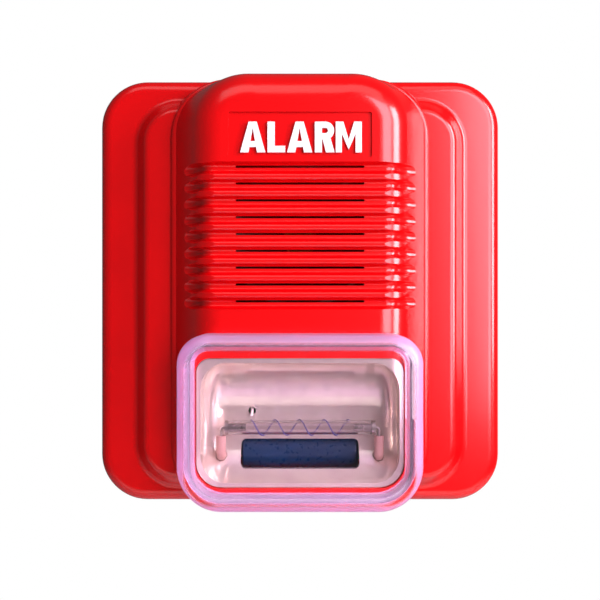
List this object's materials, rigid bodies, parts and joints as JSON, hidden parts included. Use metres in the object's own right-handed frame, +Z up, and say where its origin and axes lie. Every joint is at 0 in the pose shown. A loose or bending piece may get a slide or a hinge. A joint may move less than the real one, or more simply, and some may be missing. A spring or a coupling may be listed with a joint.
{
  "type": "horn strobe",
  "caption": "Wall horn strobe: a stepped red cover with a louvred horn hump and a clear strobe lens, hinged on a flat base plate.",
  "frame": {"origin": "centre of the rear face, on the wall", "axes": "+X right, +Z up, +Y into the wall, so the front faces -Y"},
  "size_m": [0.12, 0.0516, 0.1264],
  "materials": {
    "base_red_abs": "moulded satin",
    "grommet_rubber": "moulded EPDM",
    "red_abs": "moulded satin gloss",
    "letter_white": "moulded gloss",
    "clear_polycarbonate": "clear moulded polycarbonate",
    "metallised_plastic": "vacuum metallised",
    "tube_glass": "clear borosilicate",
    "electrode_nickel": "plated cap",
    "nickel": "plated",
    "silicone_sleeve": "matte silicone",
    "trigger_nickel": "drawn wire",
    "trigger_insulation": "satin insulation",
    "board_laminate": "solder mask over glass epoxy",
    "steel_screw": "zinc plated",
    "capacitor_aluminium": "drawn can",
    "capacitor_sleeve_blue": "shrunk film",
    "tinned_lead": "tinned",
    "transformer_black": "potted case",
    "ferrite": "sintered ferrite",
    "copper_winding": "enamelled copper",
    "capacitor_sleeve_black": "shrunk film",
    "chip_epoxy": "moulded epoxy",
    "film_capacitor_yellow": "dipped box",
    "resistor_ceramic": "chip resistor",
    "horn_black": "moulded ABS",
    "brass_disc": "rolled brass",
    "piezo_ceramic": "silvered ceramic",
    "wire_red": "PVC insulation",
    "wire_black": "PVC insulation",
    "terminal_green": "moulded polyamide",
    "switch_blue": "moulded polyester",
    "trimmer_blue": "moulded case",
    "terminal_brass": "nickel plated brass",
    "slider_white": "moulded nylon",
    "rotor_white": "moulded rotor"
  },
  "bodies": {
    "base": {"base_plate": "base_red_abs", "cable_grommet": "grommet_rubber"},
    "cover": {"front_cover": "red_abs", "legend_letters": "letter_white", "lens": "clear_polycarbonate", "reflector": "metallised_plastic", "xenon_tube": "tube_glass", "tube_electrodes": "electrode_nickel", "tube_leads": "nickel", "tube_sleeves": "silicone_sleeve", "trigger_wire": "trigger_nickel", "trigger_lead": "trigger_insulation", "main_board": "board_laminate", "board_screws": "steel_screw", "flash_capacitor_can": "capacitor_aluminium", "flash_capacitor_sleeve": "capacitor_sleeve_blue", "flash_capacitor_leads": "tinned_lead", "trigger_transformer": "transformer_black", "boost_inductor_core": "ferrite", "boost_inductor_winding": "copper_winding", "horn_coil_core": "ferrite", "horn_coil_winding": "copper_winding", "supply_capacitor_can": "capacitor_aluminium", "supply_capacitor_sleeve": "capacitor_sleeve_black", "controller_chip": "chip_epoxy", "controller_pins": "tinned_lead", "film_capacitor": "film_capacitor_yellow", "driver_transistors": "chip_epoxy", "rectifier_diodes": "chip_epoxy", "resistors": "resistor_ceramic", "horn_body": "horn_black", "piezo_disc": "brass_disc", "piezo_ceramic": "piezo_ceramic", "horn_retainer": "horn_black", "horn_screws": "steel_screw", "piezo_lead_red": "wire_red", "piezo_lead_black": "wire_black", "terminal_block": "terminal_green", "terminal_pins": "tinned_lead", "dip_switch_body": "switch_blue", "trimmer_body": "trimmer_blue"},
    "lock_screw": {"lock_screw": "steel_screw"},
    "lock_nut": {"lock_nut": "steel_screw"},
    "terminal_screw_1": {"terminal_screw_1": "steel_screw"},
    "terminal_clamp_1": {"terminal_clamp_1": "terminal_brass"},
    "terminal_screw_2": {"terminal_screw_2": "steel_screw"},
    "terminal_clamp_2": {"terminal_clamp_2": "terminal_brass"},
    "terminal_screw_3": {"terminal_screw_3": "steel_screw"},
    "terminal_clamp_3": {"terminal_clamp_3": "terminal_brass"},
    "terminal_screw_4": {"terminal_screw_4": "steel_screw"},
    "terminal_clamp_4": {"terminal_clamp_4": "terminal_brass"},
    "dip_slider_1": {"dip_slider_1": "slider_white"},
    "dip_slider_2": {"dip_slider_2": "slider_white"},
    "dip_slider_3": {"dip_slider_3": "slider_white"},
    "dip_slider_4": {"dip_slider_4": "slider_white"},
    "trimmer_rotor": {"trimmer_rotor": "rotor_white"}
  },
  "joints": [
    {"name": "cover_swing", "type": "hinge", "parent": "base", "child": "cover", "pos_m": [0, -0.0069, 0.059], "axis": [-1, 0, 0], "range_deg": [0, 30]},
    {"name": "lock_screw_turn", "type": "hinge", "parent": "cover", "child": "lock_screw", "pos_m": [0, -0.009, -0.06], "axis": [0, 0, -1], "range_deg": [0, 720]},
    {"name": "lock_nut_slide", "type": "slide", "parent": "cover", "child": "lock_nut", "axis": [0, 0, 1], "range_m": [0, 0.001]},
    {"name": "terminal_screw_1_turn", "type": "hinge", "parent": "cover", "child": "terminal_screw_1", "pos_m": [-0.00762, -0.006, 0.034], "axis": [0, -1, 0], "range_deg": [0, 1080]},
    {"name": "terminal_clamp_1_slide", "type": "slide", "parent": "cover", "child": "terminal_clamp_1", "axis": [0, 1, 0], "range_m": [0, 0.0015]},
    {"name": "terminal_screw_2_turn", "type": "hinge", "parent": "cover", "child": "terminal_screw_2", "pos_m": [-0.00254, -0.006, 0.034], "axis": [0, -1, 0], "range_deg": [0, 1080]},
    {"name": "terminal_clamp_2_slide", "type": "slide", "parent": "cover", "child": "terminal_clamp_2", "axis": [0, 1, 0], "range_m": [0, 0.0015]},
    {"name": "terminal_screw_3_turn", "type": "hinge", "parent": "cover", "child": "terminal_screw_3", "pos_m": [0.00254, -0.006, 0.034], "axis": [0, -1, 0], "range_deg": [0, 1080]},
    {"name": "terminal_clamp_3_slide", "type": "slide", "parent": "cover", "child": "terminal_clamp_3", "axis": [0, 1, 0], "range_m": [0, 0.0015]},
    {"name": "terminal_screw_4_turn", "type": "hinge", "parent": "cover", "child": "terminal_screw_4", "pos_m": [0.00762, -0.006, 0.034], "axis": [0, -1, 0], "range_deg": [0, 1080]},
    {"name": "terminal_clamp_4_slide", "type": "slide", "parent": "cover", "child": "terminal_clamp_4", "axis": [0, 1, 0], "range_m": [0, 0.0015]},
    {"name": "dip_slider_1_slide", "type": "slide", "parent": "cover", "child": "dip_slider_1", "axis": [0, 0, 1], "range_m": [0, 0.002]},
    {"name": "dip_slider_2_slide", "type": "slide", "parent": "cover", "child": "dip_slider_2", "axis": [0, 0, 1], "range_m": [0, 0.002]},
    {"name": "dip_slider_3_slide", "type": "slide", "parent": "cover", "child": "dip_slider_3", "axis": [0, 0, 1], "range_m": [0, 0.002]},
    {"name": "dip_slider_4_slide", "type": "slide", "parent": "cover", "child": "dip_slider_4", "axis": [0, 0, 1], "range_m": [0, 0.002]},
    {"name": "volume_turn", "type": "hinge", "parent": "cover", "child": "trimmer_rotor", "pos_m": [-0.026, -0.009, 0.034], "axis": [0, -1, 0], "range_deg": [0, 270]}
  ],
  "couplings": [
    {"joint": "lock_nut_slide", "follows": "lock_screw_turn", "m_per_rad": 0.000079577},
    {"joint": "terminal_clamp_1_slide", "follows": "terminal_screw_1_turn", "m_per_rad": 0.000079577},
    {"joint": "terminal_clamp_2_slide", "follows": "terminal_screw_2_turn", "m_per_rad": 0.000079577},
    {"joint": "terminal_clamp_3_slide", "follows": "terminal_screw_3_turn", "m_per_rad": 0.000079577},
    {"joint": "terminal_clamp_4_slide", "follows": "terminal_screw_4_turn", "m_per_rad": 0.000079577}
  ]
}
